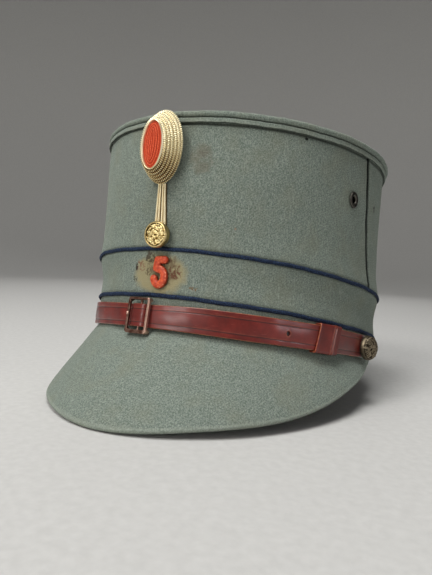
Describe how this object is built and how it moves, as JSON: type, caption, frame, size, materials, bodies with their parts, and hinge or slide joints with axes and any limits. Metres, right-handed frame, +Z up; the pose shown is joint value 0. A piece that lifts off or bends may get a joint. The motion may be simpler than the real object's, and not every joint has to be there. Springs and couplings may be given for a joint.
{
  "type": "military kepi cap",
  "caption": "Stiff kepi cap: tall oval crown leaning forward, sunken top, rolled rim, corded head band, steep peak, buckled leather chin strap, raised oval cockade and button.",
  "frame": {"origin": "on the surface the cap stands on, under the middle of its bounding box", "axes": "+Z up, -Y the cap's front, +X the wearer's left; the cap stands on the lip of its peak and the back of its hem, tipped back by about 11 degrees"},
  "size_m": [0.195, 0.2648, 0.1557],
  "materials": {
    "cloth": "grey-green milled wool, matt",
    "cord_blue": "dark blue cloth-covered cord, matt",
    "leather": "red-brown strap leather, worn gloss",
    "bronze": "brown tarnished bronze",
    "aged_brass": "dull tarnished brass",
    "gilt_brass": "pale gilt, bright on the high spots",
    "orange_cloth": "orange-red wound cord",
    "orange_enamel": "orange-red padded cloth figure, worn at its edges",
    "black_metal": "black-painted eyelet, worn"
  },
  "bodies": {
    "root": {"head_band": "cloth", "crown_front": "cloth", "crown_back": "cloth", "crown_top": "cloth", "rim_roll": "cloth", "rim_fold": "cloth", "peak": "cloth", "upper_piping": "cord_blue", "lower_piping": "cord_blue", "strap_outer": "leather", "strap_inner": "leather", "strap_keeper": "leather", "buckle_frame": "bronze", "side_button_left": "aged_brass", "side_button_right": "aged_brass", "front_button": "gilt_brass", "loop_strand_left": "gilt_brass", "loop_strand_right": "gilt_brass", "cockade_shell": "gilt_brass", "cockade_core": "orange_cloth", "numeral_5": "orange_enamel", "eyelet_left": "black_metal", "eyelet_right": "black_metal"}
  },
  "joints": []
}
